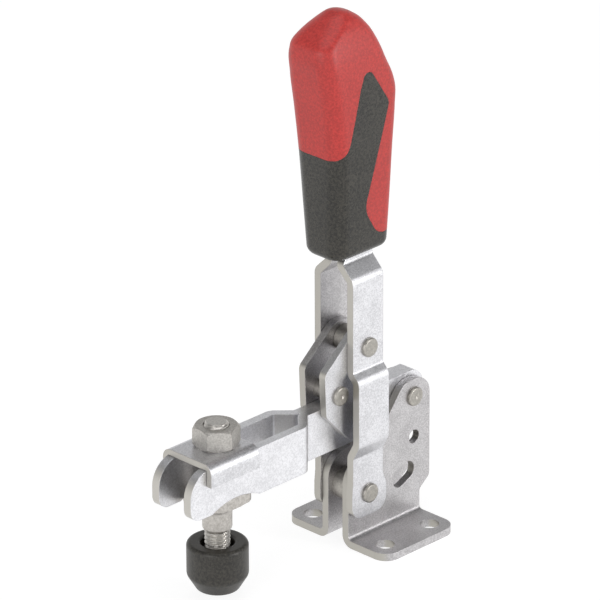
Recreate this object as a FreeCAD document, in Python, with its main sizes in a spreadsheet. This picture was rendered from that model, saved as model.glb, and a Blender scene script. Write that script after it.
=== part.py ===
# Vertical toggle clamp with a flanged base, an open two-plate arm and an upright lever.
# Millimetres. The origin is the centre of the four base holes, on the underside of the flanges.
# +X runs along the arm towards the pressure pad, +Y is the left side, +Z is up.
import FreeCAD, Part
import math
import os
import re
import Sketcher
from FreeCAD import Vector

SIZES = [
    # Sheet metal and the side play between neighbours
    ("plate_sheet", 2.5, "sheet of the base, link and lever plates"),
    ("arm_sheet", 2.9, "sheet of the arm plates"),
    ("side_play", 0.15, "play between the arm and the plates beside it"),
    ("lever_play", 0.1, "play between the lever and the plates beside it"),
    ("bend_inside", 1.2, "inner radius of every bend"),
    ("shaft_play", 0.05, "radial play of a turning joint or a thread"),
    # Pivots, seen from the side
    ("lever_pivot_x", 9.3, "lever pivot in the base"),
    ("lever_pivot_z", 17.5, "lever pivot height"),
    ("arm_pivot_x", -13.2, "arm pivot in the base"),
    ("arm_pivot_z", 41.8, "arm pivot height"),
    ("link_pivot_x", 9.5, "link pivot in the lever"),
    ("link_pivot_z", 66.8, "link pivot height"),
    ("drive_pivot_x", 9.3, "pin that joins link and arm"),
    ("drive_pivot_z", 43.0, "height of that pin"),
    ("stop_x", 19.5, "stop rivet of the link"),
    ("stop_z", 52.9, "stop rivet height"),
    # Rivets and spacers
    ("shank_radius", 2.4, "rivet shank"),
    ("drive_shank_radius", 2.0, "shank of the drive and stop rivets"),
    ("head_radius", 3.1, "rivet head"),
    ("head_height", 1.1, "rivet head thickness"),
    ("head_round", 0.6, "rounding of a rivet head"),
    ("dimple_radius", 0.8, "punch mark in a rivet head"),
    ("dimple_depth", 0.35, "depth of the punch mark"),
    ("base_spacer_radius", 5.0, "spacer between the base plates"),
    ("link_spacer_radius", 4.2, "spacer between the link plates"),
    ("stop_radius", 2.9, "thick middle of the stop rivet"),
    # Base plates
    ("base_front", 15.9, "front edge of the base"),
    ("base_back", 15.8, "rear edge of the flange, behind the origin"),
    ("flange_reach", 21.8, "flange edge from the middle plane"),
    ("flange_corner", 5.0, "flange corner radius"),
    ("hole_spacing_x", 19.8, "base holes, along the arm"),
    ("hole_spacing_y", 31.0, "base holes, across the arm"),
    ("hole_radius", 3.0, "base hole"),
    ("shoulder_rise", 10.9, "base plate above the lever pivot"),
    ("shoulder_round", 8.0, "front shoulder rounding"),
    ("shoulder_back", 2.9, "step behind the lever pivot"),
    ("horn_radius", 6.4, "rounding of the horn round the arm pivot"),
    ("horn_back", 7.0, "horn behind the arm pivot"),
    ("horn_rise", 5.8, "horn above the arm pivot"),
    ("horn_slope", 4.6, "where the sloping edge meets the top of the horn"),
    ("heel_low", 9.2, "lower end of the heel step"),
    ("heel_high", 12.6, "upper end of the heel step"),
    ("heel_round", 2.2, "rounding of the heel step"),
    ("peep_drop", 13.8, "small hole below the arm pivot"),
    ("peep_radius", 2.25, "small hole radius"),
    ("slot_front_x", -3.4, "front end of the slanting slot"),
    ("slot_front_z", 16.3, "front end height"),
    ("slot_back_x", -9.6, "rear end of the slanting slot"),
    ("slot_back_z", 19.2, "rear end height"),
    ("slot_radius", 1.75, "half the slot width"),
    # Link plates
    ("link_round", 5.6, "link plate around its pivots"),
    ("link_rise", 5.7, "link plate above its pivot"),
    ("link_drop", 6.8, "link plate below the drive pin"),
    ("link_back", 5.9, "link plate behind its pivots"),
    ("link_front", 26.0, "front corner of the link plate"),
    ("link_shoulder_z", 61.6, "height of the upper front corner"),
    ("link_chin_z", 47.4, "height of the lower front corner"),
    ("link_corner", 2.6, "front corner rounding"),
    ("link_crown", 3.5, "top edge of the link plate ahead of its pivot"),
    ("link_chin_x", 25.4, "lower front corner of the link plate"),
    ("link_heel_round", 5.0, "lower corners of the link plate"),
    ("sweep_play", 0.45, "play round the lever's rivet in the link window, at rest"),
    ("sweep_front", 3.5, "front of the link window ahead of the pivot"),
    ("sweep_knee", 8.1, "where the window's front edge starts to slant"),
    ("sweep_foot", 0.9, "front end of the window's floor, behind the pivot"),
    ("sweep_floor", 13.2, "floor of the window below the pivot"),
    ("sweep_lip_x", 1.4, "upper lip of the window behind the pivot"),
    ("sweep_lip_z", 2.6, "upper lip of the window above the pivot"),
    ("sweep_mouth_x", 8.0, "mouth of the window behind the pivot"),
    ("sweep_mouth_z", 1.8, "mouth of the window below the pivot"),
    ("sweep_round", 3.0, "rounding inside the window"),
    # Lever plates
    ("lever_back", 6.0, "lever strip behind its pivot"),
    ("lever_front", 7.1, "lever strip ahead of its pivot"),
    ("lever_eye", 7.5, "lower eye of the lever"),
    ("lever_eye_round", 7.2, "rounding of the eye"),
    ("lever_cheek_z", 18.5, "where the eye starts to narrow"),
    ("lever_neck_z", 22.5, "where the eye meets the strip"),
    ("joggle_low_z", 33.5, "start of the step outwards"),
    ("joggle_high_z", 58.9, "end of the step back in"),
    ("lever_joggle", 2.5, "size of the step"),
    ("lever_bend_z", 89.3, "start of the bend towards the grip"),
    ("tang_inside", 1.05, "tang from the middle plane"),
    ("tang_top_z", 126.0, "top of the tang"),
    ("tang_back", 4.2, "tang behind the lever pivot"),
    ("tang_front", 3.2, "tang ahead of the lever pivot"),
    ("tang_shoulder_z", 96.8, "where the strip narrows to the tang"),
    ("lever_corner", 3.6, "front corner at the top of the strip"),
    ("lever_rear_corner", 1.1, "rear corner at the top of the strip"),
    # Arm plates
    ("arm_end", 86.0, "front end of the arm"),
    ("arm_bottom_drop", 8.0, "lower edge below the arm pivot"),
    ("arm_rear_rise", 7.9, "upper edge above the arm pivot"),
    ("arm_front_rise", 7.4, "upper edge of the open front"),
    ("arm_rear_round", 6.9, "rear corners"),
    ("arm_nose_top", 8.2, "upper corner at the front"),
    ("arm_nose_bottom", 4.0, "lower corner at the front"),
    ("arm_inside", 5.3, "inner face of the open front"),
    ("arm_joggle_x", 31.0, "start of the step outwards"),
    ("arm_rise_x", 27.0, "where the upper edge starts to rise"),
    ("arm_rise_run", 8.0, "length of that rise"),
    ("arm_rise_round", 9.0, "rounding of that rise"),
    ("seat_radius", 22.0, "arc of the seat in the lower edge"),
    ("seat_depth", 2.4, "height of that arc"),
    # Spindle and what it clamps
    ("spindle_x", 66.9, "spindle axis"),
    ("spindle_radius", 4.0, "spindle thread, outside"),
    ("spindle_top_z", 58.8, "top of the spindle"),
    ("spindle_low_z", 7.0, "lower end of the spindle"),
    ("thread_lead", 0.9, "chamfer at the spindle ends"),
    ("nut_flats", 12.75, "width across the nut flats"),
    ("nut_height", 6.5, "nut height"),
    ("nut_chamfer", 0.9, "chamfer height at the nut corners"),
    ("nut_turn", 24.0, "degrees the nut is turned on the spindle"),
    ("saddle_ahead", 12.4, "saddle ahead of the spindle"),
    ("saddle_behind", 7.9, "saddle behind the spindle"),
    ("saddle_sheet", 2.0, "sheet of the saddle"),
    ("saddle_play", 0.1, "play between saddle and arm"),
    ("saddle_drop", 5.2, "saddle flange below the top of the arm"),
    ("saddle_hole", 4.4, "hole in the saddle"),
    ("saddle_inner_round", 0.2, "inner corners of the saddle"),
    ("seat_play", 0.05, "play between the seat and the lower bush"),
    ("bush_radius", 10.3, "flange of the lower bush"),
    ("bush_below", 1.2, "lower bush below the arm"),
    ("neck_radius", 4.8, "neck of the lower bush"),
    ("neck_end_z", 23.6, "lower end of the neck"),
    ("neck_round", 0.4, "rounding at the end of the neck"),
    ("bush_round", 0.6, "rounding of the flange of the lower bush"),
    ("pad_radius", 9.5, "rubber pad"),
    ("pad_top_z", 18.8, "top of the pad"),
    ("pad_waist_z", 8.2, "where the pad starts to taper"),
    ("pad_foot_z", 3.4, "face of the pad"),
    ("pad_foot_radius", 6.6, "radius of the pad face"),
    ("pad_round", 1.3, "rounding of the pad's top edge"),
    ("pad_rim_round", 0.8, "rounding of the recess rim and of the face"),
    ("pad_waist_round", 2.6, "rounding where the pad tapers"),
    ("pad_recess_radius", 5.2, "recess in the top of the pad"),
    ("pad_recess_depth", 3.2, "depth of that recess"),
    # Grip, section by section from the foot to the tip. A share is of the grip's length
    ("grip_foot_z", 97.0, "foot of the grip"),
    ("grip_tip_z", 177.0, "tip of the grip"),
    ("grip_foot_rear", -0.8, "rear of the foot"),
    ("grip_foot_front", 22.6, "front of the foot"),
    ("grip_foot_half", 7.9, "half width of the foot"),
    ("grip_wrist_share", 0.2125, "height of the wrist"),
    ("grip_wrist_rear", -1.0, "rear of the wrist"),
    ("grip_wrist_front", 23.1, "front of the wrist"),
    ("grip_wrist_half", 8.9, "half width of the wrist"),
    ("grip_palm_share", 0.425, "height of the palm"),
    ("grip_palm_rear", -1.4, "rear of the palm"),
    ("grip_palm_front", 24.1, "front of the palm"),
    ("grip_palm_half", 9.6, "half width of the palm"),
    ("grip_head_share", 0.625, "height of the head"),
    ("grip_head_rear", -2.1, "rear of the head"),
    ("grip_head_front", 25.5, "front of the head"),
    ("grip_head_half", 10.0, "half width of the head"),
    ("grip_brow_share", 0.7875, "height of the brow"),
    ("grip_brow_rear", 1.8, "rear of the brow"),
    ("grip_brow_front", 27.6, "front of the brow"),
    ("grip_brow_half", 9.8, "half width of the brow"),
    ("grip_crown_share", 0.9125, "height of the crown"),
    ("grip_crown_rear", 7.2, "rear of the crown"),
    ("grip_crown_front", 25.7, "front of the crown"),
    ("grip_crown_half", 8.6, "half width of the crown"),
    ("grip_cap_share", 0.97, "height of the cap"),
    ("grip_cap_rear", 9.6, "rear of the cap"),
    ("grip_cap_front", 22.0, "front of the cap"),
    ("grip_cap_half", 6.6, "half width of the cap"),
    ("grip_tip_rear", 12.6, "rear of the tip"),
    ("grip_tip_front", 17.8, "front of the tip"),
    ("grip_tip_half", 3.2, "half width of the tip"),
    ("grip_corner", 4.2, "rounded edges of the grip"),
    ("grip_tip_corner", 2.4, "rounded edges of the tip"),
    ("soft_skin", 1.6, "thickness of the soft cover"),
    ("soft_front_share", 0.43, "upper edge of the soft cover at the front"),
    ("soft_ridge_x", 17.4, "where the soft cover turns up the side"),
    ("soft_tongue_x", 12.6, "front of the tongue"),
    ("soft_tip_x", 10.3, "tip of the tongue"),
    ("soft_tip_share", 0.7725, "height of the tip"),
    ("soft_rear_x", 1.7, "rear point of the tongue"),
    ("soft_rear_share", 0.6125, "height of the rear point"),
    ("soft_waist_x", 11.2, "narrowest place of the soft cover"),
    ("soft_waist_share", 0.2, "height of the narrowest place"),
    ("soft_heel_x", 5.0, "where the lower rear edge levels out"),
    ("soft_heel_share", 0.0775, "height of the lower rear edge"),
    ("soft_round", 6.0, "rounding of the colour edge"),
    ("soft_tip_round", 1.5, "rounding at the tip of the tongue"),
    ("soft_rear_round", 3.0, "rounding at the rear point"),
    ("soft_waist_round", 8.0, "rounding at the narrowest place"),
    ("soft_reach", 19.0, "half width of the block that cuts out the cover"),
    ("tang_play", 0.1, "play round the tang"),
    # Working margin of the cutting outlines
    ("cut_margin", 30.0, "how far a cut reaches past the metal"),
]

# Where each layer lies, from the middle plane outwards
PLATE_IN = "(arm_sheet + side_play)"
PLATE_OUT = "(arm_sheet + side_play + plate_sheet)"
LEVER_IN = "(arm_sheet + side_play + plate_sheet + lever_play)"
LEVER_OUT = "(arm_sheet + side_play + plate_sheet * 2 + lever_play)"
ARM_OUT = "(arm_inside + arm_sheet)"
BEND_OUTSIDE = "(bend_inside + plate_sheet)"
ARM_BEND_OUTSIDE = "(bend_inside + arm_sheet)"
BEND_SHIFT = "(plate_sheet * tan(22.5 deg))"
ARM_BEND_SHIFT = "(arm_sheet * tan(22.5 deg))"
ARM_BOTTOM = "(arm_pivot_z - arm_bottom_drop)"
ARM_TOP = "(arm_pivot_z + arm_front_rise)"
SEAT_CENTRE_Z = "(arm_pivot_z - arm_bottom_drop + seat_depth - seat_radius)"
BUSH_BOTTOM = "(arm_pivot_z - arm_bottom_drop - bush_below)"
NUT_FOOT = "(arm_pivot_z + arm_front_rise + saddle_sheet)"

FUNCTIONS = ("tan", "cos", "sin", "sqrt", "deg")
START_ROUNDING = 0.4
START_RING = 10
nodes = []

doc = FreeCAD.newDocument("toggle_clamp")
sheet = doc.addObject("Spreadsheet::Sheet", "Sizes")
for row, (alias, size, note) in enumerate(SIZES, start=1):
    sheet.set(f"A{row}", note)
    sheet.set(f"B{row}", str(size))
    sheet.setAlias(f"B{row}", alias)
doc.recompute()


def bound(text):
    """The formula with every size name pointing at its cell."""
    return re.sub(r"[a-z_]{3,}", lambda word: word[0] if word[0] in FUNCTIONS else "Sizes." + word[0], text)


def bind(thing, place, text):
    thing.setExpression(place, bound(text))


def new_body(name):
    return doc.addObject("PartDesign::Body", name)


def new_sketch(body, name, plane, offset="0"):
    """Sketch on one of the body's own origin planes, moved along the plane's normal."""
    support = [feature for feature in body.Origin.OriginFeatures if feature.Role == plane][0]
    made = body.newObject("Sketcher::SketchObject", name)
    made.AttachmentSupport = [(support, "")]
    made.MapMode = "FlatFace"
    bind(made, ".AttachmentOffset.Base.z", offset)
    return made


def pin_point(made, geometry, position, across, up):
    """Tie one point of the sketch to two formulas."""
    point = made.getPoint(geometry, position)
    for kind, text, start in (("DistanceX", across, point.x), ("DistanceY", up, point.y)):
        index = made.addConstraint(Sketcher.Constraint(kind, -1, 1, geometry, position, start))
        bind(made, f"Constraints[{index}]", text)


def outline(made, corners):
    """Closed outline. A corner is (across, up) or (across, up, rounding)."""
    first = made.GeometryCount
    count = len(corners)
    ring = [Vector(math.cos(math.tau * step / count), math.sin(math.tau * step / count), 0) * START_RING
            for step in range(count)]
    for step in range(count):
        made.addGeometry(Part.LineSegment(ring[step], ring[(step + 1) % count]), False)
    for step in range(count):
        following = first + (step + 1) % count
        made.addConstraint(Sketcher.Constraint("Coincident", first + step, 2, following, 1))
    for step, corner in enumerate(corners):
        pin_point(made, first + step, 1, corner[0], corner[1])
    doc.recompute()
    for step, corner in enumerate(corners):
        if len(corner) < 3:
            continue
        arc = made.GeometryCount
        made.fillet(first + (step - 1) % count, 2, START_ROUNDING, True, True)
        index = made.addConstraint(Sketcher.Constraint("Radius", arc, START_ROUNDING))
        bind(made, f"Constraints[{index}]", corner[2])
    doc.recompute()
    return made


def circle(made, across, up, radius):
    index = made.addGeometry(Part.Circle(Vector(0, 0, 0), Vector(0, 0, 1), 1.0), False)
    pin_point(made, index, 3, across, up)
    size = made.addConstraint(Sketcher.Constraint("Radius", index, 1.0))
    bind(made, f"Constraints[{size}]", radius)
    return made


def slot(made, start, end, radius):
    """Straight slot with round ends between two points."""
    ends = []
    for across, up in (start, end):
        index = made.addGeometry(Part.Point(Vector(1, 1, 0)), True)
        pin_point(made, index, 1, across, up)
        ends.append(index)
    doc.recompute()
    first, last = (made.getPoint(index, 1) for index in ends)
    along = (last - first).normalize()
    turn = math.degrees(math.atan2(along.y, along.x))
    arcs = []
    for centre, angle in ((first, turn + 90), (last, turn - 90)):
        round_end = Part.Circle(centre, Vector(0, 0, 1), 1.0)
        arcs.append(made.addGeometry(
            Part.ArcOfCircle(round_end, math.radians(angle), math.radians(angle + 180)), False))
    for here, there, index in ((arcs[0], arcs[1], 0), (arcs[1], arcs[0], 1)):
        line = made.addGeometry(Part.LineSegment(made.getPoint(here, 2), made.getPoint(there, 1)), False)
        made.addConstraint(Sketcher.Constraint("Coincident", here, 3, ends[index], 1))
        made.addConstraint(Sketcher.Constraint("Tangent", here, 2, line, 1))
        made.addConstraint(Sketcher.Constraint("Tangent", line, 2, there, 1))
    made.addConstraint(Sketcher.Constraint("Equal", arcs[0], arcs[1]))
    size = made.addConstraint(Sketcher.Constraint("Radius", arcs[0], 1.0))
    bind(made, f"Constraints[{size}]", radius)
    doc.recompute()
    return made


def pad(body, profile, length):
    made = body.newObject("PartDesign::Pad", profile.Name + "_pad")
    made.Profile = profile
    bind(made, "Length", length)
    doc.recompute()
    return made


def pocket(body, profile, length):
    """Cut away from the profile, against its plane's normal."""
    before = body.Shape.Volume
    made = body.newObject("PartDesign::Pocket", profile.Name + "_cut")
    made.Profile = profile
    bind(made, "Length", length)
    doc.recompute()
    if not body.Shape.Volume < before:
        raise RuntimeError(f"{made.Name} removes nothing")
    return made


def revolve(body, profile, axis):
    made = body.newObject("PartDesign::Revolution", profile.Name + "_turned")
    made.Profile = profile
    made.ReferenceAxis = (profile, [axis])
    made.Angle = 360
    doc.recompute()
    return made


def side_pad(body, name, corners, inner, outer):
    """Plate seen from the side, between two distances from the middle plane."""
    profile = new_sketch(body, name, "XZ_Plane", f"-({outer})")
    outline(profile, corners)
    return pad(body, profile, f"{outer} - {inner}")


def side_holes(body, name, holes, reach):
    """Round holes (across, up, radius) through everything within reach of the middle plane."""
    profile = new_sketch(body, name, "XZ_Plane", "0")
    for across, up, radius in holes:
        circle(profile, across, up, radius)
    doc.recompute()
    return pocket(body, profile, reach)


def side_trim(body, name, corners, reach):
    """Cut away all metal outside an outline seen from the side."""
    profile = new_sketch(body, name, "XZ_Plane", "0")
    frame(profile)
    outline(profile, corners)
    return pocket(body, profile, reach)


def frame(profile):
    """Outer border of a trimming sketch, well outside the whole clamp."""
    far = "(grip_tip_z + cut_margin)"
    return outline(profile, [(f"-{far}", f"-{far}"), (far, f"-{far}"), (far, far), (f"-{far}", far)])


def finish(thing, label):
    thing.Label = label
    nodes.append(thing)
    return thing


def mirrored(body, label):
    """The same plate on the other side of the middle plane."""
    made = doc.addObject("Part::Mirroring", label)
    made.Source = body
    made.Normal = Vector(0, 1, 0)
    doc.recompute()
    return finish(made, label)


def pair(body, name):
    finish(body, name + "_left")
    mirrored(body, name + "_right")


def place(thing, across, up):
    bind(thing, ".Placement.Base.x", across)
    bind(thing, ".Placement.Base.z", up)


def base_plate():
    """Sheet bent outwards into a flange, with a horn for the arm pivot."""
    body = new_body("base_plate")
    bend = new_sketch(body, "base_bend", "YZ_Plane", "arm_pivot_x - horn_back")
    outline(bend, [
        (PLATE_IN, "0", BEND_OUTSIDE),
        ("flange_reach", "0"),
        ("flange_reach", "plate_sheet"),
        (PLATE_OUT, "plate_sheet", "bend_inside"),
        (PLATE_OUT, "arm_pivot_z + horn_rise"),
        (PLATE_IN, "arm_pivot_z + horn_rise"),
    ])
    pad(body, bend, "base_front - arm_pivot_x + horn_back")
    heel = "arm_pivot_x - horn_back"
    horn_top = "arm_pivot_z + horn_rise"
    shoulder = "lever_pivot_z + shoulder_rise"
    side_trim(body, "base_side", [
        ("-base_back", "-cut_margin"),
        ("base_front", "-cut_margin"),
        ("base_front", shoulder, "shoulder_round"),
        ("lever_pivot_x - shoulder_back", shoulder, "heel_round"),
        ("arm_pivot_x + horn_slope", horn_top, "horn_radius"),
        (heel, horn_top, "horn_radius"),
        (heel, "heel_high", "heel_round"),
        ("-base_back", "heel_low", "heel_round"),
    ], "flange_reach + cut_margin")
    corners = new_sketch(body, "flange_corners", "XY_Plane", "plate_sheet")
    frame(corners)
    outline(corners, [
        ("-base_back", "0"),
        ("base_front", "0"),
        ("base_front", "flange_reach", "flange_corner"),
        ("-base_back", "flange_reach", "flange_corner"),
    ])
    pocket(body, corners, "plate_sheet * 2")
    bolts = new_sketch(body, "flange_holes", "XY_Plane", "plate_sheet")
    for side in ("-", ""):
        circle(bolts, side + "hole_spacing_x / 2", "hole_spacing_y / 2", "hole_radius")
    doc.recompute()
    pocket(body, bolts, "plate_sheet * 2")
    side_holes(body, "base_holes", [
        ("lever_pivot_x", "lever_pivot_z", "shank_radius"),
        ("arm_pivot_x", "arm_pivot_z", "shank_radius"),
        ("arm_pivot_x", "arm_pivot_z - peep_drop", "peep_radius"),
    ], PLATE_OUT)
    window = new_sketch(body, "base_slot", "XZ_Plane", "0")
    slot(window, ("slot_front_x", "slot_front_z"), ("slot_back_x", "slot_back_z"), "slot_radius")
    pocket(body, window, PLATE_OUT)
    pair(body, "base_plate")


def link_plate():
    """Chevron plate between lever and arm, with the stop rivet in its nose.

    The window under the lever strip is where the lever's rivet passes while the clamp opens.
    """
    body = new_body("link_plate")
    rear = "link_pivot_x - link_back"
    side_pad(body, "link_side", [
        (rear, "link_pivot_z + link_rise", "link_round"),
        ("link_pivot_x + link_crown", "link_pivot_z + link_rise", "link_round"),
        ("link_front", "link_shoulder_z", "link_corner"),
        ("link_chin_x", "link_chin_z", "link_corner"),
        ("drive_pivot_x + link_round", "drive_pivot_z - link_drop", "link_heel_round"),
        (rear, "drive_pivot_z - link_drop", "link_heel_round"),
    ], PLATE_IN, PLATE_OUT)
    side_holes(body, "link_holes", [
        ("link_pivot_x", "link_pivot_z", "shank_radius + sweep_play"),
        ("drive_pivot_x", "drive_pivot_z", "drive_shank_radius"),
        ("stop_x", "stop_z", "drive_shank_radius"),
    ], PLATE_OUT)
    window = new_sketch(body, "link_window", "XZ_Plane", "0")
    mouth = "link_pivot_x - sweep_mouth_x"
    floor = "link_pivot_z - sweep_floor"
    outline(window, [
        (mouth, floor),
        ("link_pivot_x - sweep_foot", floor, "sweep_round"),
        ("link_pivot_x + sweep_front", "link_pivot_z - sweep_knee", "sweep_round"),
        ("link_pivot_x + shank_radius + sweep_play", "link_pivot_z"),
        ("link_pivot_x - sweep_lip_x", "link_pivot_z + sweep_lip_z"),
        (mouth, "link_pivot_z - sweep_mouth_z"),
    ])
    pocket(body, window, PLATE_OUT)
    pair(body, "link_plate")


def lever_plate():
    """Strip that steps out over the rivet heads and bends in to a tang inside the grip."""
    body = new_body("lever_plate")
    low = "lever_pivot_z - lever_eye"
    middle_in = f"{LEVER_IN} + lever_joggle"
    middle_out = f"{LEVER_OUT} + lever_joggle"
    drop = f"({LEVER_IN} - tang_inside)"
    bend = new_sketch(body, "lever_bends", "YZ_Plane", "lever_pivot_x - lever_eye")
    outline(bend, [
        (LEVER_IN, low),
        (LEVER_OUT, low),
        (LEVER_OUT, f"joggle_low_z - {BEND_SHIFT}", "bend_inside"),
        (middle_out, f"joggle_low_z + lever_joggle - {BEND_SHIFT}", BEND_OUTSIDE),
        (middle_out, f"joggle_high_z - lever_joggle + {BEND_SHIFT}", BEND_OUTSIDE),
        (LEVER_OUT, f"joggle_high_z + {BEND_SHIFT}", "bend_inside"),
        (LEVER_OUT, f"lever_bend_z + {BEND_SHIFT}", BEND_OUTSIDE),
        ("tang_inside + plate_sheet", f"lever_bend_z + {drop} + {BEND_SHIFT}", "bend_inside"),
        ("tang_inside + plate_sheet", "tang_top_z"),
        ("tang_inside", "tang_top_z"),
        ("tang_inside", f"lever_bend_z + {drop}", BEND_OUTSIDE),
        (LEVER_IN, "lever_bend_z", "bend_inside"),
        (LEVER_IN, "joggle_high_z", BEND_OUTSIDE),
        (middle_in, "joggle_high_z - lever_joggle", "bend_inside"),
        (middle_in, "joggle_low_z + lever_joggle", "bend_inside"),
        (LEVER_IN, "joggle_low_z", BEND_OUTSIDE),
    ])
    pad(body, bend, "lever_eye * 2")
    eye_back = "lever_pivot_x - lever_eye"
    eye_front = "lever_pivot_x + lever_eye"
    back = "lever_pivot_x - lever_back"
    front = "lever_pivot_x + lever_front"
    side_trim(body, "lever_side", [
        (eye_back, low, "lever_eye_round"),
        (eye_front, low, "lever_eye_round"),
        (eye_front, "lever_cheek_z"),
        (front, "lever_neck_z"),
        (front, "tang_shoulder_z", "lever_corner"),
        ("lever_pivot_x + tang_front", "tang_shoulder_z"),
        ("lever_pivot_x + tang_front", "tang_top_z"),
        ("lever_pivot_x - tang_back", "tang_top_z"),
        ("lever_pivot_x - tang_back", "tang_shoulder_z"),
        (back, "tang_shoulder_z", "lever_rear_corner"),
        (back, "lever_neck_z"),
        (eye_back, "lever_cheek_z"),
    ], f"{middle_out} + cut_margin")
    side_holes(body, "lever_holes", [
        ("lever_pivot_x", "lever_pivot_z", "shank_radius + shaft_play"),
        ("link_pivot_x", "link_pivot_z", "shank_radius"),
    ], LEVER_OUT)
    pair(body, "lever_plate")


def arm_plate():
    """Pressed plate: flat at the pivots, stepped out to a wall of the open front."""
    body = new_body("arm_plate")
    rear = "arm_pivot_x - arm_rear_round"
    plan = new_sketch(body, "arm_plan", "XY_Plane", ARM_BOTTOM)
    outline(plan, [
        (rear, "0"),
        (f"arm_joggle_x + {ARM_BEND_SHIFT}", "0", ARM_BEND_OUTSIDE),
        (f"arm_joggle_x + arm_inside + {ARM_BEND_SHIFT}", "arm_inside", "bend_inside"),
        ("arm_end", "arm_inside"),
        ("arm_end", ARM_OUT),
        ("arm_joggle_x + arm_inside", ARM_OUT, ARM_BEND_OUTSIDE),
        ("arm_joggle_x", "arm_sheet", "bend_inside"),
        (rear, "arm_sheet"),
    ])
    pad(body, plan, "arm_bottom_drop + arm_front_rise")
    rear_top = "arm_pivot_z + arm_rear_rise"
    side_trim(body, "arm_side", [
        (rear, ARM_BOTTOM, "arm_rear_round"),
        ("arm_end", ARM_BOTTOM, "arm_nose_bottom"),
        ("arm_end", ARM_TOP, "arm_nose_top"),
        ("arm_rise_x + arm_rise_run", ARM_TOP, "arm_rise_round"),
        ("arm_rise_x", rear_top, "arm_rise_round"),
        (rear, rear_top, "arm_rear_round"),
    ], f"{ARM_OUT} + cut_margin")
    side_holes(body, "arm_holes", [
        ("arm_pivot_x", "arm_pivot_z", "shank_radius + shaft_play"),
        ("drive_pivot_x", "drive_pivot_z", "drive_shank_radius + shaft_play"),
    ], "arm_sheet")
    seat = new_sketch(body, "arm_seat", "XZ_Plane", "0")
    circle(seat, "spindle_x", SEAT_CENTRE_Z, "seat_radius")
    doc.recompute()
    pocket(body, seat, ARM_OUT)
    pair(body, "arm_plate")


def rivet(name, pivot, shank, inner, outer, collar=None, dimple=False):
    """Rivet across the clamp. Its heads lie on the plates that end at the outer distance."""
    body = new_body(name)
    profile = new_sketch(body, name + "_profile", "YZ_Plane")
    crown = f"{outer} + head_height"
    half = [
        (crown, "head_radius", "head_round"),
        (outer, "head_radius"),
        (outer, shank),
    ]
    if collar:
        half += [(inner, shank), (inner, collar)]
    if dimple:
        half = [(f"{crown} - dimple_depth", "0"), (crown, "dimple_radius")] + half
    else:
        half = [(crown, "0")] + half
    other = [("-(" + corner[0] + ")",) + corner[1:] for corner in reversed(half)]
    outline(profile, half + other)
    revolve(body, profile, "H_Axis")
    place(body, *pivot)
    finish(body, name)


def spacer(name, pivot, outside, hole, half_length):
    """Plain tube across the clamp."""
    body = new_body(name)
    profile = new_sketch(body, name + "_profile", "YZ_Plane")
    outline(profile, [
        (f"-({half_length})", hole),
        (half_length, hole),
        (half_length, outside),
        (f"-({half_length})", outside),
    ])
    revolve(body, profile, "H_Axis")
    place(body, *pivot)
    finish(body, name)


def rivets():
    lever_pivot = ("lever_pivot_x", "lever_pivot_z")
    link_pivot = ("link_pivot_x", "link_pivot_z")
    arm_pivot = ("arm_pivot_x", "arm_pivot_z")
    drive_pivot = ("drive_pivot_x", "drive_pivot_z")
    stop = ("stop_x", "stop_z")
    rivet("lever_pivot_rivet", lever_pivot, "shank_radius", PLATE_IN, f"{LEVER_OUT} + shaft_play")
    rivet("link_pivot_rivet", link_pivot, "shank_radius", PLATE_IN, LEVER_OUT)
    rivet("arm_pivot_rivet", arm_pivot, "shank_radius", PLATE_IN, PLATE_OUT, dimple=True)
    rivet("drive_rivet", drive_pivot, "drive_shank_radius", PLATE_IN, PLATE_OUT)
    rivet("stop_rivet", stop, "drive_shank_radius", PLATE_IN, PLATE_OUT, "stop_radius", True)
    spacer("base_spacer", lever_pivot, "base_spacer_radius", "shank_radius", PLATE_IN)
    spacer("link_spacer", link_pivot, "link_spacer_radius", "shank_radius", f"{PLATE_IN} - lever_play")


def turned_part(name, corners):
    """Round part on the spindle axis. A corner is (radius, height) with its rounding."""
    body = new_body(name)
    profile = new_sketch(body, name + "_profile", "XZ_Plane")
    outline(profile, corners)
    revolve(body, profile, "V_Axis")
    bind(body, ".Placement.Base.x", "spindle_x")
    return body


def spindle():
    tip = "spindle_radius - thread_lead"
    body = turned_part("spindle", [
        ("0", "spindle_low_z"),
        (tip, "spindle_low_z"),
        ("spindle_radius", "spindle_low_z + thread_lead"),
        ("spindle_radius", "spindle_top_z - thread_lead"),
        (tip, "spindle_top_z"),
        ("0", "spindle_top_z"),
    ])
    finish(body, "spindle")


def rubber_pad():
    """Pressure pad moulded over the lower end of the spindle."""
    top = "pad_top_z"
    floor = "pad_top_z - pad_recess_depth"
    body = turned_part("rubber_pad", [
        ("0", "pad_foot_z"),
        ("pad_foot_radius", "pad_foot_z", "pad_rim_round"),
        ("pad_radius", "pad_waist_z", "pad_waist_round"),
        ("pad_radius", top, "pad_round"),
        ("pad_recess_radius", top, "pad_rim_round"),
        ("pad_recess_radius", floor),
        ("spindle_radius", floor),
        ("spindle_radius", "spindle_low_z"),
        ("0", "spindle_low_z"),
    ])
    finish(body, "rubber_pad")


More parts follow.
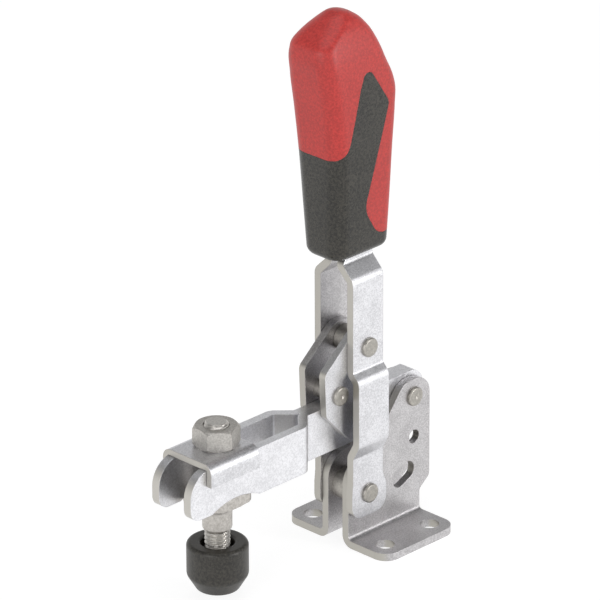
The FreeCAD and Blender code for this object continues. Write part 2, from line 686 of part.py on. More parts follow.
def lower_bush():
    """Threaded seat under the arm: domed flange in the arm's arcs, as wide as the arm, and a neck."""
    disc = turned_part("lower_bush_disc", [
        ("spindle_radius + shaft_play", "neck_end_z"),
        ("neck_radius", "neck_end_z", "neck_round"),
        ("neck_radius", BUSH_BOTTOM),
        ("bush_radius", BUSH_BOTTOM, "bush_round"),
        ("bush_radius", f"{BUSH_BOTTOM} + bush_below + seat_depth"),
        ("spindle_radius + shaft_play", f"{BUSH_BOTTOM} + bush_below + seat_depth"),
    ])
    dome = doc.addObject("Part::Cylinder", "seat_dome")
    bind(dome, "Radius", "seat_radius - seat_play")
    bind(dome, "Height", f"{ARM_OUT} * 2")
    dome.Placement = FreeCAD.Placement(Vector(0, 0, 0), FreeCAD.Rotation(Vector(1, 0, 0), 90))
    bind(dome, ".Placement.Base.x", "spindle_x")
    bind(dome, ".Placement.Base.y", ARM_OUT)
    bind(dome, ".Placement.Base.z", SEAT_CENTRE_Z)
    both = doc.addObject("Part::Common", "lower_bush")
    both.Base = disc
    both.Tool = dome
    doc.recompute()
    finish(both, "lower_bush")


def saddle():
    """Channel over the top of the arm that carries the nut."""
    body = new_body("upper_saddle")
    inside = f"({ARM_OUT} + saddle_play)"
    outside = f"({ARM_OUT} + saddle_play + saddle_sheet)"
    low = f"{ARM_TOP} - saddle_drop"
    round_out = "(bend_inside + saddle_sheet)"
    channel = new_sketch(body, "saddle_channel", "YZ_Plane", "spindle_x - saddle_behind")
    outline(channel, [
        (f"-{outside}", low),
        (f"-{inside}", low),
        (f"-{inside}", ARM_TOP, "saddle_inner_round"),
        (inside, ARM_TOP, "saddle_inner_round"),
        (inside, low),
        (outside, low),
        (outside, NUT_FOOT, round_out),
        (f"-{outside}", NUT_FOOT, round_out),
    ])
    pad(body, channel, "saddle_ahead + saddle_behind")
    hole = new_sketch(body, "saddle_hole_plan", "XY_Plane", NUT_FOOT)
    circle(hole, "spindle_x", "0", "saddle_hole")
    doc.recompute()
    pocket(body, hole, "saddle_sheet")
    finish(body, "upper_saddle")


def upper_nut():
    """Hexagon nut, chamfered at both ends."""
    corner = "nut_flats / cos(30 deg) / 2"
    blank = turned_part("nut_blank", [
        ("spindle_radius + shaft_play", NUT_FOOT),
        ("nut_flats / 2", NUT_FOOT),
        (corner, f"{NUT_FOOT} + nut_chamfer"),
        (corner, f"{NUT_FOOT} + nut_height - nut_chamfer"),
        ("nut_flats / 2", f"{NUT_FOOT} + nut_height"),
        ("spindle_radius + shaft_play", f"{NUT_FOOT} + nut_height"),
    ])
    prism = doc.addObject("Part::Prism", "nut_hexagon")
    prism.Polygon = 6
    bind(prism, "Circumradius", corner)
    bind(prism, "Height", "nut_height")
    prism.Placement = FreeCAD.Placement(Vector(0, 0, 0), FreeCAD.Rotation(Vector(0, 0, 1), 1))
    bind(prism, ".Placement.Rotation.Angle", "nut_turn * 1 deg")
    bind(prism, ".Placement.Base.x", "spindle_x")
    bind(prism, ".Placement.Base.z", NUT_FOOT)
    both = doc.addObject("Part::Common", "upper_nut")
    both.Base = blank
    both.Tool = prism
    doc.recompute()
    finish(both, "upper_nut")


def grip_height(share):
    """Height of a place on the grip that lies at this share of its length."""
    return f"(grip_foot_z + (grip_tip_z - grip_foot_z) * {share})"


def grip_loft(name, stations, inset):
    """Loft through rounded sections, each shrunk by the inset."""
    sections = []
    ends = {"foot": "0", "tip": "1"}
    for station in stations:
        part = "grip_" + station
        rounding = "grip_tip_corner" if station == "tip" else "grip_corner"
        section = doc.addObject("Sketcher::SketchObject", f"{name}_{station}")
        bind(section, ".Placement.Base.z", grip_height(ends.get(station, part + "_share")))
        rear = f"{part}_rear + {inset}"
        front = f"{part}_front - {inset}"
        half = f"({part}_half - {inset})"
        rounded = f"{rounding} - {inset}"
        outline(section, [
            (rear, f"-{half}", rounded),
            (front, f"-{half}", rounded),
            (front, half, rounded),
            (rear, half, rounded),
        ])
        sections.append(section)
    made = doc.addObject("Part::Loft", name)
    made.Sections = sections
    made.Solid = True
    made.MaxDegree = 3
    doc.recompute()
    return made


def boolean(kind, name, base, tool):
    made = doc.addObject(kind, name)
    made.Base = base
    made.Tool = tool
    doc.recompute()
    return made


def grip():
    """Hard body with a soft cover round its front and up both sides."""
    stations = ("foot", "wrist", "palm", "head", "brow", "crown", "cap", "tip")
    whole = grip_loft("grip_whole", stations, "0")
    core = grip_loft("grip_core", stations[:-1], "soft_skin")
    zone = new_body("soft_zone")
    ahead = "grip_brow_front + cut_margin"
    behind = "grip_head_rear - cut_margin"
    below = "grip_foot_z - cut_margin"
    front_edge = grip_height("soft_front_share")
    tip = grip_height("soft_tip_share")
    heel = grip_height("soft_heel_share")
    side_pad(zone, "soft_outline", [
        (ahead, below),
        (ahead, front_edge),
        ("soft_ridge_x", front_edge, "soft_round"),
        ("soft_tongue_x", f"{tip} - soft_round", "soft_round"),
        ("soft_tip_x", tip, "soft_tip_round"),
        ("soft_rear_x", grip_height("soft_rear_share"), "soft_rear_round"),
        ("soft_waist_x", grip_height("soft_waist_share"), "soft_waist_round"),
        ("soft_heel_x", heel, "soft_round"),
        (behind, heel),
        (behind, below),
    ], "-soft_reach", "soft_reach")
    room = doc.addObject("Part::Box", "tang_room")
    bind(room, "Length", "tang_back + tang_front + tang_play * 2")
    bind(room, "Width", "(tang_inside + plate_sheet + tang_play) * 2")
    bind(room, "Height", "tang_top_z + tang_play - grip_foot_z + cut_margin")
    bind(room, ".Placement.Base.x", "lever_pivot_x - tang_back - tang_play")
    bind(room, ".Placement.Base.y", "-(tang_inside + plate_sheet + tang_play)")
    bind(room, ".Placement.Base.z", "grip_foot_z - cut_margin")
    cover = boolean("Part::Common", "cover_blank", whole, zone)
    cover = boolean("Part::Cut", "cover_shell", cover, core)
    cover = boolean("Part::Cut", "grip_cover", cover, room)
    hard = boolean("Part::Cut", "hard_blank", whole, zone)
    hard = boolean("Part::Fuse", "hard_whole", hard, core)
    hard = boolean("Part::Cut", "grip_body", hard, room)
    finish(hard, "grip_body")
    finish(cover, "grip_cover")


base_plate()
lever_plate()
link_plate()
arm_plate()
rivets()
saddle()
upper_nut()
lower_bush()
spindle()
rubber_pad()
grip()
doc.recompute()

for thing in doc.Objects:
    if "Invalid" in thing.State or "Error" in thing.State:
        raise RuntimeError(f"{thing.Name} failed: {thing.State}")
for node in nodes:
    if node.Shape.isNull() or not node.Shape.isValid():
        raise RuntimeError(f"{node.Label} has no valid shape")

os.makedirs("parts", exist_ok=True)
for node in nodes:
    node.Shape.exportStep(os.path.join("parts", node.Label + ".step"))
    print(node.Label, len(node.Shape.Solids), round(node.Shape.Volume, 1))
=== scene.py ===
"""Vertical toggle clamp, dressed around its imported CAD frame. Metres, in the frame's own axes."""

import math

import bmesh
import bpy
from mathutils import Matrix, Vector


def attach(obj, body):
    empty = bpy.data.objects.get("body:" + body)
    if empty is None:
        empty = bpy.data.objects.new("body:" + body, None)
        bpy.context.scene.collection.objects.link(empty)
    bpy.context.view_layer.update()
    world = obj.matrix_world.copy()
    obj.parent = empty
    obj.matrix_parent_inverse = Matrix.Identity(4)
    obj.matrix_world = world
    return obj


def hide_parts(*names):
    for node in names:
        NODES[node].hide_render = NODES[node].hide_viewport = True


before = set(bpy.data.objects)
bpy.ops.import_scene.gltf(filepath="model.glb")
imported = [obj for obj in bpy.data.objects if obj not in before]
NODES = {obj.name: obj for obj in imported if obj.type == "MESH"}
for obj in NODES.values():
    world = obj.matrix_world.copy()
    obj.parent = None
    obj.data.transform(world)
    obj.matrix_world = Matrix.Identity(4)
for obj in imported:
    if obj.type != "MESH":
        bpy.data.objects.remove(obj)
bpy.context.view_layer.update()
MM = 0.001


def linear(code):
    """sRGB hex code to linear RGBA."""
    parts = [int(code[start:start + 2], 16) / 255 for start in (1, 3, 5)]
    return tuple(part / 12.92 if part <= 0.04045 else ((part + 0.055) / 1.055) ** 2.4
                 for part in parts) + (1.0,)


def add(tree, kind, settings=None, **links):
    """Add a node. Settings name its properties or its inputs, links feed its inputs."""
    made = tree.nodes.new("ShaderNode" + kind)
    for key, value in (settings or {}).items():
        if isinstance(key, str) and hasattr(made, key):
            setattr(made, key, value)
        else:
            made.inputs[key].default_value = value
    for key, source in links.items():
        place = int(key[1:]) if key[0] == "i" and key[1:].isdigit() else key.replace("_", " ")
        tree.links.new(source, made.inputs[place])
    return made


def new_material(name, **constants):
    """Material with a Principled shader, its constants set on the shader's own sockets."""
    made = bpy.data.materials.new(name)
    made.use_nodes = True
    tree = made.node_tree
    shader = tree.nodes["Principled BSDF"]
    for key, value in constants.items():
        shader.inputs[key.replace("_", " ")].default_value = value
    return made, tree, shader


def per_mm(size):
    """Texture scale at which one feature is that many millimetres across."""
    return 1 / (size * MM)


def shade(tree, shader, tone, span, light, dark):
    """Base colour between a dark and a light tone of the same finish."""
    ramp = add(tree, "ValToRGB", Fac=tone)
    for stop, place, code in zip(ramp.color_ramp.elements, span, (dark, light)):
        stop.position = place
        stop.color = linear(code)
    tree.links.new(ramp.outputs["Color"], shader.inputs["Base Color"])
    return ramp


def roughen(tree, shader, grain, roughness, smoother, rougher):
    """Roughness that follows the grain, from a little smoother to a little rougher than the finish."""
    spread = add(tree, "MapRange", {"From Min": 0.3, "From Max": 0.7, "To Min": roughness - smoother,
                                    "To Max": roughness + rougher}, Value=grain)
    tree.links.new(spread.outputs["Result"], shader.inputs["Roughness"])


def emboss(tree, shader, grain, strength, depth_mm, edge_mm):
    """Raised grain on top of softly rounded edges."""
    soft_edge = add(tree, "Bevel", {"samples": 4, "Radius": edge_mm * MM})
    bump = add(tree, "Bump", {"Strength": strength, "Distance": depth_mm * MM},
               Height=grain, Normal=soft_edge.outputs["Normal"])
    tree.links.new(bump.outputs["Normal"], shader.inputs["Normal"])


def zinc_plated_sheet(name, light, dark, edge, roughness):
    """Pressed steel sheet, zinc plated: pale satin metal, a fine tumbled grain, duller sheared edges."""
    made, tree, shader = new_material(name, Metallic=1.0)
    place = add(tree, "TexCoord")
    spot = place.outputs["Object"]
    cloud = add(tree, "TexNoise", {"Scale": per_mm(6.0), "Detail": 3.0, "Roughness": 0.6}, Vector=spot)
    # The real grain is finer than the picture shows, so it is drawn at half a millimetre
    grain = add(tree, "TexNoise", {"Scale": per_mm(0.5), "Detail": 3.0, "Roughness": 0.75}, Vector=spot)
    both = add(tree, "Math", {"operation": "MULTIPLY_ADD", 1: 0.3},
               i0=cloud.outputs["Fac"], i2=grain.outputs["Fac"])
    ramp = shade(tree, shader, both.outputs[0], (0.54, 0.77), light, dark)
    # Faces that look along the clamp are the cut edges of the sheet
    side = add(tree, "SeparateXYZ", Vector=place.outputs["Normal"])
    cut = add(tree, "Math", {"operation": "ABSOLUTE"}, i0=side.outputs["X"])
    sheared = add(tree, "MapRange", {"From Min": 0.55, "From Max": 0.85}, Value=cut.outputs[0])
    tinted = add(tree, "Mix", {"data_type": "RGBA", 7: linear(edge)},
                 Factor=sheared.outputs["Result"], i6=ramp.outputs["Color"])
    tree.links.new(tinted.outputs[2], shader.inputs["Base Color"])
    roughen(tree, shader, grain.outputs["Fac"], roughness, 0.06, 0.1)
    emboss(tree, shader, grain.outputs["Fac"], 0.35, 0.04, 0.3)
    return made


def turned_steel(name, light, dark, roughness, grain_mm):
    """Small turned or headed steel piece, plated: greyer than the sheet, with tiny handling marks."""
    made, tree, shader = new_material(name, Metallic=1.0)
    place = add(tree, "TexCoord").outputs["Object"]
    marks = add(tree, "TexNoise", {"Scale": per_mm(grain_mm), "Detail": 5.0, "Roughness": 0.7}, Vector=place)
    shade(tree, shader, marks.outputs["Fac"], (0.35, 0.65), light, dark)
    roughen(tree, shader, marks.outputs["Fac"], roughness, 0.06, 0.08)
    emboss(tree, shader, marks.outputs["Fac"], 0.3, 0.03, 0.2)
    return made


def moulded(name, light, dark, roughness, grain_mm, depth_mm):
    """Moulded plastic or rubber with a spark-eroded grain: even colour, tiny pits, broad shine."""
    made, tree, shader = new_material(name, IOR=1.5)
    place = add(tree, "TexCoord").outputs["Object"]
    cloud = add(tree, "TexNoise", {"Scale": per_mm(12.0), "Detail": 3.0}, Vector=place)
    grain = add(tree, "TexNoise", {"Scale": per_mm(grain_mm), "Detail": 4.0, "Roughness": 0.7}, Vector=place)
    mixed = add(tree, "Math", {"operation": "MULTIPLY_ADD", 1: 0.15},
                i0=cloud.outputs["Fac"], i2=grain.outputs["Fac"])
    shade(tree, shader, mixed.outputs[0], (0.47, 0.69), light, dark)
    roughen(tree, shader, grain.outputs["Fac"], roughness, 0.08, 0.1)
    emboss(tree, shader, grain.outputs["Fac"], 0.5, depth_mm, 0.4)
    return made


# Zinc plated sheet reads as pale satin silver: greyest on the base, whitest on the arm. The greyer base sheet
# also stands as painted shade on the plates on the right, for the shade that falls between the plates
BASE_SHEET_AND_PAINTED_SHADE = zinc_plated_sheet("zinc_plated_base_sheet_and_painted_shade", "#D2D0D1", "#AEACAD", "#B4B1AA", 0.36)
LEVER_SHEET = zinc_plated_sheet("zinc_plated_lever_sheet", "#EAEAED", "#CCCCCF", "#BAB7B0", 0.34)
ARM_SHEET = zinc_plated_sheet("zinc_plated_arm_sheet", "#F4F4F7", "#DADADD", "#C4C1BB", 0.34)
# Headed and turned steel reads warmer and darker than the sheet, the rolled thread brightest of it
RIVET_STEEL = turned_steel("headed_rivet_steel", "#B9B5AE", "#9A9791", 0.4, 0.7)
NUT_STEEL = turned_steel("plated_nut_steel", "#D2CFCA", "#ABA8A3", 0.46, 0.6)
BUSH_STEEL = turned_steel("turned_bush_steel", "#CFCBC6", "#ABA7A1", 0.36, 0.8)
THREAD_STEEL = turned_steel("rolled_thread_steel", "#DAD7D2", "#B6B3AE", 0.34, 0.6)
# Grained nylon reads as a matt even red, the elastomer and the rubber as a near black with a soft sheen.
# Their real grain is finer than the picture shows, so it is drawn at three quarters of a millimetre
RED_NYLON = moulded("red_grained_nylon", "#C63B36", "#A82E2B", 0.42, 0.75, 0.05)
DARK_ELASTOMER = moulded("soft_dark_elastomer", "#3D3A33", "#171511", 0.28, 0.75, 0.07)
BLACK_RUBBER = moulded("moulded_black_rubber", "#3E3B35", "#1E1C18", 0.4, 0.75, 0.06)

# What each node of the solids wears, by the start of its name. Rivets and spacers wear the rest. The lever
# and link plates on the right wear the greyer base sheet: painted shade for the shade between the two plates
WORN_BY = {
    "base_plate": BASE_SHEET_AND_PAINTED_SHADE, "lever_plate_left": LEVER_SHEET, "lever_plate_right": BASE_SHEET_AND_PAINTED_SHADE,
    "link_plate_left": LEVER_SHEET, "link_plate_right": BASE_SHEET_AND_PAINTED_SHADE, "arm_plate": ARM_SHEET,
    "upper_saddle": LEVER_SHEET, "lower_bush": BUSH_STEEL, "upper_nut": NUT_STEEL, "rubber_pad": BLACK_RUBBER,
}

for name, node in NODES.items():
    finish = next((worn for start, worn in WORN_BY.items() if name.startswith(start)), RIVET_STEEL)
    node.data.materials.clear()
    node.data.materials.append(finish)


# Faces that meet at more than this angle keep a crisp edge
CRISP_ANGLE = math.radians(32)


def piece(name, mesh, finish):
    """Put a mesh into the scene as a smooth piece with its finish."""
    mesh.materials.clear()
    mesh.materials.append(finish)
    mesh.shade_smooth()
    mesh.set_sharp_from_angle(angle=CRISP_ANGLE)
    made = bpy.data.objects.new(name, mesh)
    bpy.context.scene.collection.objects.link(made)
    return made


def dress(made, node, body):
    """Show a piece in place of its node, carried by its body."""
    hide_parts(node)
    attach(made, body)


def skin(name, rings):
    """Closed mesh through rings of the same number of points, with flat ends."""
    shell = bmesh.new()
    rows = [[shell.verts.new(point) for point in ring] for ring in rings]
    count = len(rows[0])
    for low, high in zip(rows, rows[1:]):
        for step in range(count):
            following = (step + 1) % count
            shell.faces.new((low[step], low[following], high[following], high[step]))
    shell.faces.new(list(reversed(rows[0])))
    shell.faces.new(rows[-1])
    bmesh.ops.recalc_face_normals(shell, faces=shell.faces)
    mesh = bpy.data.meshes.new(name)
    shell.to_mesh(mesh)
    shell.free()
    return mesh


def cross_bar(name, outline, low, high):
    """Closed bar across the clamp, with an outline seen from the side. Millimetres."""
    return skin(name, [[Vector((x, y, z)) * MM for x, z in outline] for y in (low, high)])


def arc(centre, radius, start, turn, count):
    """Points round a centre, each a turn further on than the last."""
    angles = [start + turn * step for step in range(count)]
    return [(centre[0] + radius * math.cos(angle), centre[1] + radius * math.sin(angle)) for angle in angles]


CORNER_POINTS = 8


def rounded_line(corners):
    """Outline with its corners rounded off, as points. Each corner has its place and its radius."""
    points = []
    for number, (x, z, radius) in enumerate(corners):
        here = Vector((x, z))
        before = (Vector(corners[number - 1][:2]) - here).normalized()
        after = (Vector(corners[(number + 1) % len(corners)][:2]) - here).normalized()
        if radius == 0:
            points.append(here)
            continue
        half_angle = before.angle(after) / 2
        centre = here + (before + after).normalized() * radius / math.sin(half_angle)
        start = here + before * radius / math.tan(half_angle) - centre
        turn = math.copysign(math.pi - 2 * half_angle, before.y * after.x - before.x * after.y)
        for step in range(CORNER_POINTS + 1):
            angle = turn * step / CORNER_POINTS
            points.append(centre + Vector((start.x * math.cos(angle) - start.y * math.sin(angle),
                                           start.x * math.sin(angle) + start.y * math.cos(angle))))
    return points


def cut_mesh(name, whole, tool, operation):
    """New mesh from a boolean of two closed meshes."""
    host = bpy.data.objects.new(name, whole)
    knife = bpy.data.objects.new(name + "_knife", tool)
    for thing in (host, knife):
        bpy.context.scene.collection.objects.link(thing)
    change = host.modifiers.new("cut", "BOOLEAN")
    change.operation = operation
    change.solver = "EXACT"
    change.object = knife
    bpy.context.view_layer.update()
    made = bpy.data.meshes.new_from_object(host.evaluated_get(bpy.context.evaluated_depsgraph_get()))
    made.name = name
    for thing in (host, knife):
        bpy.data.objects.remove(thing)
    return made


# Spindle thread: M8, pitch 1.25 mm, rolled. Millimetres
SPINDLE_X = 66.9
SPINDLE_LOW = 7.0
SPINDLE_TOP = 58.8
THREAD_CREST = 3.96
THREAD_ROOT = 3.3
THREAD_PITCH = 1.25
THREAD_STEPS = 10
ROUND_STEPS = 40
END_CHAMFER = 0.9
# The flank's rise over half a pitch, and the share of it that the flat root takes
FLANK_RISE = 1.35
ROOT_FLAT = 0.18


def spindle_thread():
    """Screw surface: the radius climbs and falls once per pitch and turns with the height."""
    count = round((SPINDLE_TOP - SPINDLE_LOW) / THREAD_PITCH * THREAD_STEPS)
    rings = []
    for level in range(count + 1):
        height = SPINDLE_LOW + (SPINDLE_TOP - SPINDLE_LOW) * level / count
        from_end = min(height - SPINDLE_LOW, SPINDLE_TOP - height)
        limit = THREAD_CREST - max(0, END_CHAMFER - from_end)
        ring = []
        for step in range(ROUND_STEPS):
            turn = step / ROUND_STEPS
            wave = abs((height / THREAD_PITCH - turn) % 1 - 0.5) * 2
            flank = min(1, max(0, wave * FLANK_RISE - ROOT_FLAT))
            radius = min(limit, THREAD_ROOT + (THREAD_CREST - THREAD_ROOT) * flank)
            ring.append(Vector((SPINDLE_X + radius * math.cos(math.tau * turn),
                                radius * math.sin(math.tau * turn), height)) * MM)
        rings.append(ring)
    return piece("spindle_thread", skin("spindle_thread", rings), THREAD_STEEL)


# Lower bush, as radius and height: a neck that flares into a flange. Millimetres
BUSH_PROFILE = [(4.05, 23.6), (4.2, 23.5), (4.5, 23.7), (4.6, 24.1), (4.6, 28.6), (4.8, 29.9), (5.5, 31.0),
                (6.8, 31.9), (8.6, 32.4), (9.9, 32.65), (10.2, 32.9), (10.3, 33.2)]
# The flange's top follows the arcs in the arm's lower edge, so its rings have no height of their own
FLANGE_TOP = [(10.3, None), (8.5, None), (6.5, None), (4.05, None)]
ARM_REACH = 8.2
SEAT_CENTRE = 14.2
SEAT_ARC = 21.95
BUSH_STEPS = 72


def flared_bush():
    """Turned bush, its flange cut off flush with the two arm plates."""
    rings = []
    for radius, height in BUSH_PROFILE + FLANGE_TOP:
        ring = []
        for x, y in arc((0, 0), radius, 0, math.tau / BUSH_STEPS, BUSH_STEPS):
            top = SEAT_CENTRE + math.sqrt(SEAT_ARC ** 2 - x ** 2)
            ring.append(Vector((SPINDLE_X + x, max(-ARM_REACH, min(ARM_REACH, y)),
                                top if height is None else min(height, top))) * MM)
        rings.append(ring)
    return piece("flared_bush", skin("flared_bush", rings), BUSH_STEEL)


# Lever strip, its bends seen from the front and its outline seen from the side, each corner with its
# radius, and its bores for the two pivots. Millimetres
LEVER_BENDS = [(5.65, 10, 0), (8.15, 10, 0), (8.15, 30.9, 2), (10.65, 35.7, 4.5), (10.65, 57.44, 3.7),
               (8.15, 59.94, 1.2), (8.15, 90.34, 3.7), (3.55, 94.94, 1.2), (3.55, 126, 0), (1.05, 126, 0),
               (1.05, 93.9, 3.7), (5.65, 89.3, 1.2), (5.65, 58.9, 3.7), (8.15, 56.4, 1.2), (8.15, 36.3, 2),
               (5.65, 31.5, 4.5)]
LEVER_SIDE = [(1.8, 10, 4.5), (16.8, 10, 4.5), (16.8, 18.5, 0), (16.4, 22.5, 0), (16.4, 96.8, 3.6),
              (12.5, 96.8, 0), (12.5, 126, 0), (5.1, 126, 0), (5.1, 96.8, 0), (3.3, 96.8, 1.1),
              (3.3, 22.5, 0), (1.8, 18.5, 0)]
LEVER_BORES = [((9.3, 17.5), 2.45), ((9.5, 66.8), 2.4)]
LEVER_DEPTH = 20
BORE_STEPS = 48
# Just off the clamp's middle and past the outside of every plate, for the tools that cut them
OFF_MIDDLE = 1
PAST_PLATES = 14


def lever_strip(name, side, finish):
    """Strip with its long lower step and its squared foot, bored for both pivots."""
    bends = rounded_line(LEVER_BENDS)
    strip = skin(name, [[Vector((x, side * y, z)) * MM for y, z in bends] for x in (0, LEVER_DEPTH)])
    cuts = [("INTERSECT", rounded_line(LEVER_SIDE))]
    for centre, radius in LEVER_BORES:
        cuts.append(("DIFFERENCE", arc(centre, radius, 0, math.tau / BORE_STEPS, BORE_STEPS)))
    for operation, outline in cuts:
        strip = cut_mesh(name, strip, cross_bar("tool", outline, -PAST_PLATES, PAST_PLATES), operation)
    return piece(name, strip, finish)


# Slot in each base plate, seen from the side: its two centres and its half width. The first is the slot
# of the solids with a narrow rim round it, the second the slot that is shown. Millimetres
PLATE_INNER = 3.05
PLATE_OUTER = 5.55
CLOSED_SLOT = ((-3.4, 16.3), (-9.6, 19.2), 2.05)
OPEN_SLOT = ((-6.8, 15.8), (-10.3, 17.4), 3.0)
SLOT_STEPS = 16
# Double points are closer than this, in millimetres, and flat faces meet at less than this angle
DOUBLE_GAP = 0.002
FLAT_ANGLE = math.radians(0.5)


def slot_bar(ends, low, high):
    """Closed bar with the outline of a slot."""
    start, stop, radius = ends
    first = math.atan2(stop[1] - start[1], stop[0] - start[0]) - math.pi / 2
    turn = math.pi / SLOT_STEPS
    outline = arc(stop, radius, first, turn, SLOT_STEPS + 1)
    outline += arc(start, radius, first + math.pi, turn, SLOT_STEPS + 1)
    return cross_bar("slot_bar", outline, low, high)


def welded(name, mesh):
    """The same mesh with its double points joined and its flat faces made whole."""
    shell = bmesh.new()
    shell.from_mesh(mesh)
    bmesh.ops.remove_doubles(shell, verts=shell.verts, dist=DOUBLE_GAP * MM)
    bmesh.ops.dissolve_limit(shell, angle_limit=FLAT_ANGLE, verts=shell.verts, edges=shell.edges)
    made = bpy.data.meshes.new(name)
    shell.to_mesh(made)
    shell.free()
    return made


def base_side(name, side, node):
    """The plate of the solids with its slot closed and a wider, shorter one cut in its place."""
    plug = slot_bar(CLOSED_SLOT, side * PLATE_INNER, side * PLATE_OUTER)
    closed = cut_mesh("plate", welded("plate", NODES[node].data), plug, "UNION")
    opening = slot_bar(OPEN_SLOT, side * OFF_MIDDLE, side * PAST_PLATES)
    return piece(name, cut_mesh(name, welded("plate", closed), opening, "DIFFERENCE"), BASE_SHEET_AND_PAINTED_SHADE)


# Grip: its rear, its front and half its width, each by height. Millimetres
GRIP_FOOT = 97.7
GRIP_TIP = 176.25
FOOT_ROUND = 2.6
REAR_LINE = [(97, -0.6), (114, -1.0), (131, -1.5), (144, -2.2), (150, -2.3), (153.5, -1.3), (160, 1.7),
             (167, 4.7), (171.5, 7.1), (174.4, 9.6), (175.7, 11.8), (176.3, 14.0)]
FRONT_LINE = [(97, 22.9), (114, 23.6), (131, 24.6), (147, 26.3), (158, 28.0), (165.5, 29.0), (168.4, 28.5),
              (170.2, 26.6), (172, 24.0), (174, 20.9), (175.5, 18.3), (176.3, 16.2)]
HALF_LINE = [(97, 7.9), (114, 8.9), (131, 9.6), (147, 10.0), (158, 9.9), (165, 9.2), (169.6, 8.0),
             (172.9, 6.4), (175, 4.6), (176, 2.8), (176.3, 1.6)]
FRONT_CORNER = 5.2
REAR_CORNER = 4.2
CORNER_STEPS = 9
FOOT_RINGS = 6
FLANK_RINGS = 90
# A corner takes at most this share of the half width, and gives way by this share of an inset
CORNER_LIMIT = 0.97
CORNER_GIVE = 0.8
# Where the soft cover meets the red, seen from the side, each corner with its radius
COVER_LINE = [(60, 60, 0), (60, 132.0, 0), (20.3, 132.0, 6.5), (14.9, 153.6, 6), (12.1, 160.6, 2.2),
              (2.7, 146.2, 3), (12.1, 113.0, 8), (5.9, 103.2, 6), (-40, 103.2, 0), (-40, 60, 0)]
COVER_REACH = 15


def along(line, height):
    """Smooth curve through points: the cubic whose slope at each point follows its neighbours."""
    spans = list(zip(line, line[1:]))
    slopes = [(after[1] - before[1]) / (after[0] - before[0]) for before, after in spans]
    inner = [(left * (after[0] - here[0]) + right * (here[0] - before[0])) / (after[0] - before[0])
             for left, right, before, here, after in zip(slopes, slopes[1:], line, line[1:], line[2:])]
    tangents = [slopes[0]] + inner + [slopes[-1]]
    index = next((number for number, span in enumerate(spans) if height <= span[1][0]), len(spans) - 1)
    (low, start), (high, stop) = spans[index]
    run = high - low
    part = min(1, max(0, (height - low) / run))
    rise = 3 * part ** 2 - 2 * part ** 3
    return ((1 - rise) * start + rise * stop
            + (part ** 3 - 2 * part ** 2 + part) * run * tangents[index]
            + (part ** 3 - part ** 2) * run * tangents[index + 1])


def grip_ring(height, inset):
    """Section of the grip: a rounded oblong, set in from the skin by an inset."""
    rear = along(REAR_LINE, height) + inset
    front = along(FRONT_LINE, height) - inset
    half = along(HALF_LINE, height) - inset
    most = min(half, (front - rear) / 2) * CORNER_LIMIT
    ring = []
    for turn, x, y, corner in ((0, front, half, FRONT_CORNER), (90, rear, half, REAR_CORNER),
                               (180, rear, -half, REAR_CORNER), (270, front, -half, FRONT_CORNER)):
        radius = min(corner - inset * CORNER_GIVE, most)
        centre = (x - math.copysign(radius, x - (front + rear) / 2), y - math.copysign(radius, y))
        quarter = arc(centre, radius, math.radians(turn), math.pi / 2 / CORNER_STEPS, CORNER_STEPS + 1)
        ring += [Vector((*point, height)) * MM for point in quarter]
    return ring


def grip_whole():
    """Whole grip as one closed skin: rounded foot edge, tapered flanks, domed top."""
    rings = []
    for step in range(FOOT_RINGS + 1):
        angle = math.pi / 2 * step / FOOT_RINGS
        up = FOOT_ROUND * (1 - math.cos(angle))
        rings.append(grip_ring(GRIP_FOOT + up, FOOT_ROUND * (1 - math.sin(angle))))
    start = GRIP_FOOT + FOOT_ROUND
    for step in range(1, FLANK_RINGS + 1):
        share = math.sin(math.pi / 2 * step / FLANK_RINGS)
        rings.append(grip_ring(start + (GRIP_TIP - start) * share, 0))
    return skin("grip_whole", rings)


def grip_half(name, operation, finish):
    """The red hard part or the dark soft cover, flush with each other along the cover line."""
    zone = cross_bar("cover_zone", rounded_line(COVER_LINE), -COVER_REACH, COVER_REACH)
    return piece(name, cut_mesh(name, grip_whole(), zone, operation), finish)


dress(spindle_thread(), "spindle", "spindle")
dress(lever_strip("lever_strip_left", 1, LEVER_SHEET), "lever_plate_left", "lever")
# The right strip wears the greyer base sheet as painted shade, for the shade between the plates
dress(lever_strip("lever_strip_right", -1, BASE_SHEET_AND_PAINTED_SHADE), "lever_plate_right", "lever")
dress(base_side("base_side_left", 1, "base_plate_left"), "base_plate_left", "base")
dress(base_side("base_side_right", -1, "base_plate_right"), "base_plate_right", "base")
dress(flared_bush(), "lower_bush", "arm")
dress(grip_half("grip_hard_part", "DIFFERENCE", RED_NYLON), "grip_body", "lever")
dress(grip_half("grip_soft_cover", "INTERSECT", DARK_ELASTOMER), "grip_cover", "lever")


# The camera stands far back, as the photograph's nearly parallel lines show. Metres
AIM = Vector((0.030, 0, 0.080))
DISTANCE = 1.885
AZIMUTH = math.radians(134.64)
ELEVATION = math.radians(24.51)
ROLL = math.radians(-0.23)
FAR_END = 100
SENSOR_MM = 36.0
# The photograph's side, the lens and the picture's centre, in pixels
PHOTO_SIDE = 600
FOCAL_PIXELS = 6246
CENTRE_U = 302.4
CENTRE_V = 319.8


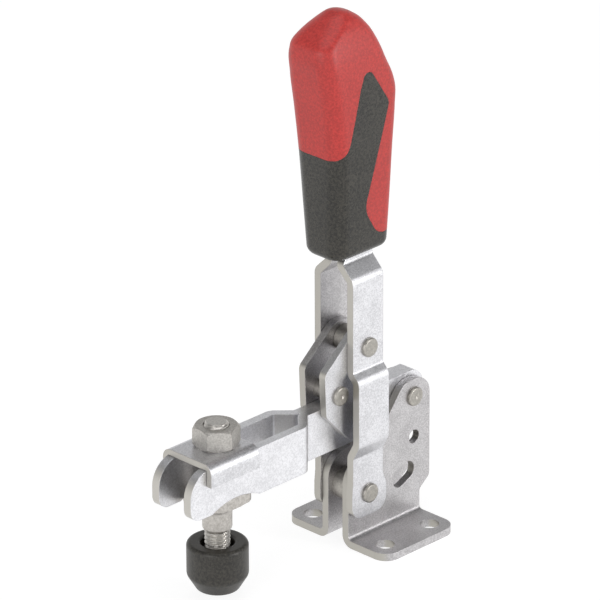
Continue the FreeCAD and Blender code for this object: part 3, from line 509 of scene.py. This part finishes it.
def camera():
    """Long lens at the photograph's own angle."""
    back = Vector((math.sin(AZIMUTH) * math.cos(ELEVATION), -math.cos(AZIMUTH) * math.cos(ELEVATION),
                   math.sin(ELEVATION)))
    right = Vector((math.cos(AZIMUTH), math.sin(AZIMUTH), 0))
    data = bpy.data.cameras.new("photo_camera")
    data.sensor_width = SENSOR_MM
    data.lens = FOCAL_PIXELS * SENSOR_MM / PHOTO_SIDE
    data.shift_x = (PHOTO_SIDE / 2 - CENTRE_U) / PHOTO_SIDE
    data.shift_y = (CENTRE_V - PHOTO_SIDE / 2) / PHOTO_SIDE
    data.clip_end = FAR_END
    made = bpy.data.objects.new("photo_camera", data)
    turn = Matrix((right, back.cross(right), back)).transposed() @ Matrix.Rotation(ROLL, 3, "Z")
    made.matrix_world = Matrix.Translation(AIM + back * DISTANCE) @ turn.to_4x4()
    bpy.context.scene.collection.objects.link(made)
    bpy.context.scene.camera = made


# Soft boxes: name, place and size in metres, watts
SOFT_BOXES = [
    ("side_box", (-0.5, 1.2, 0.35), (0.2, 0.9), 6.5),
    ("front_box", (1.3, 0.3, 0.5), (0.8, 0.8), 5),
    ("top_box", (0.1, 0.1, 1.5), (1.2, 1.2), 6),
]
# Half the floor's side, in metres
FLOOR_REACH = 3.0
# The room's grey by the height of the ray: white at the horizon, grey overhead
ROOM_STOPS = [(0.0, "#FFFFFF"), (0.4, "#DDDDDD"), (0.62, "#868686")]


def lamp(name, place, size, watts):
    """Soft box that faces the clamp's middle."""
    data = bpy.data.lights.new(name, "AREA")
    data.shape = "RECTANGLE"
    data.size, data.size_y = size
    data.energy = watts
    made = bpy.data.objects.new(name, data)
    made.location = place
    made.rotation_euler = (AIM - Vector(place)).to_track_quat("-Z", "Y").to_euler()
    bpy.context.scene.collection.objects.link(made)


def room():
    """Room that the metal mirrors."""
    world = bpy.data.worlds.new("soft_room")
    world.use_nodes = True
    tree = world.node_tree
    height = add(tree, "SeparateXYZ", Vector=add(tree, "TexCoord").outputs["Generated"])
    sky = add(tree, "ValToRGB", Fac=height.outputs["Z"])
    stops = sky.color_ramp.elements
    stops.new(ROOM_STOPS[1][0])
    for stop, (place, code) in zip(stops, ROOM_STOPS):
        stop.position = place
        stop.color = linear(code)
    tree.links.new(sky.outputs["Color"], tree.nodes["Background"].inputs["Color"])
    bpy.context.scene.world = world


def white_paper():
    """White paper: a matt floor to the light, and near its own white to the eye and in the metal."""
    made, tree, matt = new_material("white_paper_floor", Base_Color=linear("#F2F2F2"), Roughness=0.9)
    ray = add(tree, "LightPath")
    seen = add(tree, "Math", {"operation": "MAXIMUM"},
               i0=ray.outputs["Is Camera Ray"], i1=ray.outputs["Is Glossy Ray"])
    shows = add(tree, "Math", {"operation": "MAXIMUM"},
                i0=seen.outputs[0], i1=ray.outputs["Is Transmission Ray"])
    # Mostly its own white, and a quarter of the light, which keeps the shadow
    glow = add(tree, "Emission", {"Color": (1, 1, 1, 1), "Strength": 0.85})
    lit = add(tree, "BsdfDiffuse", {"Color": (0.25, 0.25, 0.25, 1)})
    shown = add(tree, "AddShader", i0=glow.outputs[0], i1=lit.outputs[0])
    mix = add(tree, "MixShader", Fac=shows.outputs[0], i1=matt.outputs[0], i2=shown.outputs[0])
    tree.links.new(mix.outputs[0], tree.nodes["Material Output"].inputs["Surface"])
    return made


def floor():
    """Plain pale floor under the clamp."""
    grid = bmesh.new()
    bmesh.ops.create_grid(grid, x_segments=1, y_segments=1, size=FLOOR_REACH)
    mesh = bpy.data.meshes.new("studio_floor")
    grid.to_mesh(mesh)
    grid.free()
    mesh.materials.append(white_paper())
    made = bpy.data.objects.new("studio_floor", mesh)
    bpy.context.scene.collection.objects.link(made)


camera()
room()
floor()
for soft_box in SOFT_BOXES:
    lamp(*soft_box)
bpy.context.scene.view_settings.view_transform = "Standard"
